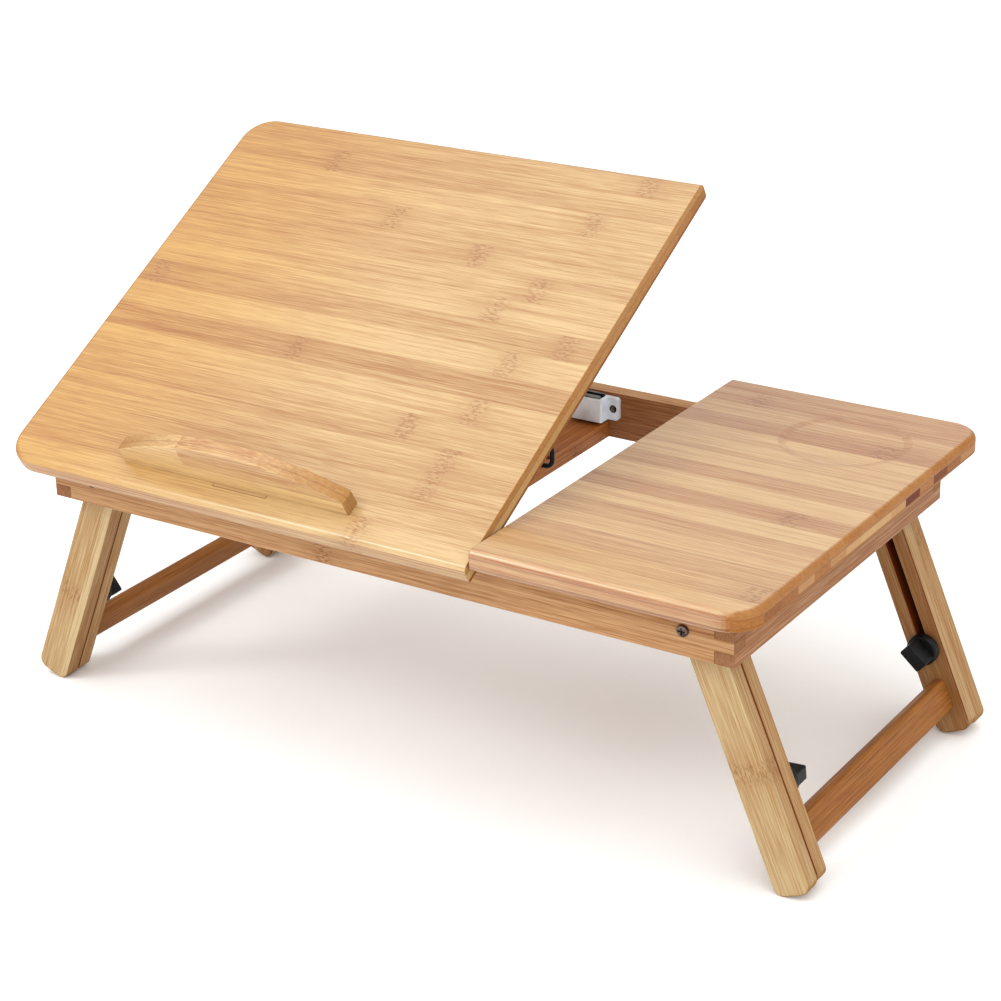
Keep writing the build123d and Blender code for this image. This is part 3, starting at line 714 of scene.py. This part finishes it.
pivotBlock = {"pitch": 20.0, "offset": 0.0, "soft": 0.4}


def dressLedge(plan):
    shut = tiltTurn.inverted()
    corners = [shut @ point.co for point in nodes["stop_ledge"].data.vertices]
    front = min(corner.y for corner in corners)
    middle = (min(corner.x for corner in corners) + max(corner.x for corner in corners)) / 2
    dress("stop_ledge", tiltTurn @ boardFrame((middle, front, tableTop), lengthwise, upward), plan)


dressLedge(ledge)
dress("pivot_block", tiltTurn @ faceFrame, pivotBlock)
print("ledge dressed")


# Rails

railBoards = {
    "outer": {"pitch": 16.0, "offset": -2.0, "soft": 0.35, "spread": 0.35},      # strips, in mm
    "inner": {"pitch": 13.0, "offset": -6.0, "soft": 0.35},
    "dowels": {"pitch": 40.0, "offset": 0.0},
    "frontGrowth": {0: (-31,), 1: (-85,)}, "backGrowth": {0: (-60,), 1: (120,)},
    "backShade": -2.6, "rightShade": -2.4,      # painted shade on the back rail's inner face and the right rail's outer face
}


def dressRails(plan):
    foot = (0, 0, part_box("front_rail")[0].z)
    long = boardFrame(foot, lengthwise, upward)
    short = boardFrame(foot, depthwise, upward)
    dress("front_rail", long, {**plan["outer"], "growth": plan["frontGrowth"]})
    dress("back_rail", long, {**plan["outer"], "growth": plan["backGrowth"], "shade": plan["backShade"]})
    dress("left_rail", short, plan["outer"])
    dress("right_rail", short, {**plan["outer"], "shade": plan["rightShade"]})
    for node in ("cross_rail", "rack_strip"):
        dress(node, boardFrame(foot, depthwise, lengthwise), plan["inner"])
    dress("fixed_top_dowels", boardFrame(foot, upward, depthwise), plan["dowels"])


dressRails(railBoards)
print("rails dressed")


# Legs

legBoards = {
    "pitch": 40.0,                              # mm, wider than a leg, so that it has one joint at most
    "seam": {"left": 5.5, "right": 14.0},       # that joint, in mm from the middle of the leg
    "soft": 0.4, "spread": 0.4,
    "slot": 3.4,                                # half width of the slot in the sliding legs, whose walls are painted dark as shade
    # the sides of the legs are darker than their fronts as painted shade, most on the left legs whose sides face
    # in under the table
    "sideShade": {"front_left_leg": -3.0, "front_right_leg": -0.8,
                  "rear_left_leg": -2.9, "rear_right_leg": -1.9},
    "slideShade": -3.0, "slideSide": -1.2,      # sliding legs are darker in front than at the sides
    "tones": {"front_left_leg": {-1: -0.45, 0: 0.7}, "front_right_leg": {-1: 0.2},
              "rear_left_leg": {-1: -0.3, 0: 0.3}, "rear_right_leg": {-1: 0.1}},
    "growth": {"front_right_leg": {-1: (88,)}, "front_left_leg": {-1: (93.5,)},
               "rear_right_leg": {-1: (40,)}, "rear_left_leg": {-1: (60,)}},
    "stretcherPitch": 22.0, "stretcherOffset": 124.0,       # mm from the pivot of the legs
    "stretcherGrowth": {"left": {0: (-90,)}, "right": {}},
}


def dressLegs(plan):
    for word in ("left", "right"):
        up = Vector(joints[word + "_legs_extend"]["axis"])
        pivot = joints[word + "_legs_fold"]["pos_m"]
        legFrame = boardFrame(pivot, -up, depthwise.cross(up))
        shared = {"pitch": plan["pitch"], "offset": plan["seam"][word],
                  "soft": plan["soft"], "spread": plan["spread"]}
        sliding = {**shared, "slot": plan["slot"], "growth": {},
                   "shade": plan["slideShade"], "sideShade": plan["slideSide"]}
        stretcher = {"pitch": plan["stretcherPitch"], "offset": plan["stretcherOffset"],
                     "growth": plan["stretcherGrowth"][word]}
        for where in ("front", "rear"):
            leg = f"{where}_{word}_leg"
            dress(leg, legFrame, {**shared, "tones": plan["tones"][leg], "growth": plan["growth"][leg],
                                  "sideShade": plan["sideShade"][leg]})
            dress(f"{where}_{word}_sliding_leg", legFrame, sliding)
        dress(word + "_stretcher", boardFrame(pivot, depthwise, -up), stretcher)


dressLegs(legBoards)
print("legs dressed")


# Metal and plastic pieces keep their solids and get a finish

for node, piece in nodes.items():
    if not piece.hide_render:
        piece.data.materials.clear()
        piece.data.materials.append(finishes[slotOf[node]])
        evenNormals(piece)
print("metal and plastic finished")


# Studio

studio = {
    "skyLow": 0.68, "skyHigh": 2.0,     # a pale room, brightest overhead
    "brightest": (0.25, -0.35, 0.90),   # the way to its brightest part
    "lamps": {
        "keyLamp": {"place": (-1.22, -1.45, 1.70), "aim": (0.0, 0.0, 0.15), "size": 0.6, "power": 12.0},
    },
    "floorHalf": 60.0,                  # metres from the middle to a side
    "floor": tint(246, 246, 245), "fleck": tint(248, 248, 247),
    "floorNoise": {"size": sameSize(40.0), "detail": 3.0, "rough": 0.55},
    "floorRough": 0.8, "floorRoughReach": 0.1,
}


def makeSky(plan):
    world = bpy.data.worlds.new("studioSky")
    world.use_nodes = True
    tree = world.node_tree
    way = tree.nodes.new("ShaderNodeVectorMath")
    way.operation = "DOT_PRODUCT"
    tree.links.new(tree.nodes.new("ShaderNodeTexCoord").outputs["Generated"], way.inputs[0])
    way.inputs[1].default_value = Vector(plan["brightest"]).normalized()
    light = spread(tree, way.outputs["Value"], 0.0, 1.0, plan["skyLow"], plan["skyHigh"])
    tree.nodes["Background"].inputs["Color"].default_value = (1, 1, 1, 1)
    tree.links.new(light, tree.nodes["Background"].inputs["Strength"])
    bpy.context.scene.world = world


def makeLamp(name, lamp):
    data = bpy.data.lights.new(name, "AREA")
    data.size = lamp["size"]
    data.energy = lamp["power"]
    light = bpy.data.objects.new(name, data)
    light.location = lamp["place"]
    toward = Vector(lamp["aim"]) - Vector(lamp["place"])
    light.rotation_euler = toward.to_track_quat("-Z", "Y").to_euler()
    putInScene(light)


def floorPaper(plan):
    material, tree, shader = surface("floorPaper")
    fleck = cloud(tree, localPoint(tree), plan["floorNoise"])
    tree.links.new(blendColour(tree, fleck, plan["floor"], plan["fleck"]), shader.inputs["Base Color"])
    rough = sums(tree, "MULTIPLY_ADD", fleck, plan["floorRoughReach"], plan["floorRough"])
    tree.links.new(rough, shader.inputs["Roughness"])
    return material


def makeFloor(plan):
    half = plan["floorHalf"]
    mesh = bpy.data.meshes.new("studioFloor")
    corners = [(-half, -half, 0), (half, -half, 0), (half, half, 0), (-half, half, 0)]
    mesh.from_pydata(corners, [], [(0, 1, 2, 3)])
    mesh.materials.append(floorPaper(plan))
    floor = bpy.data.objects.new("studioFloor", mesh)
    putInScene(floor)


def makeStudio(plan):
    makeSky(plan)
    for name, lamp in plan["lamps"].items():
        makeLamp(name, lamp)
    makeFloor(plan)
    bpy.context.scene.view_settings.view_transform = "Standard"


makeStudio(studio)
print("studio lit")
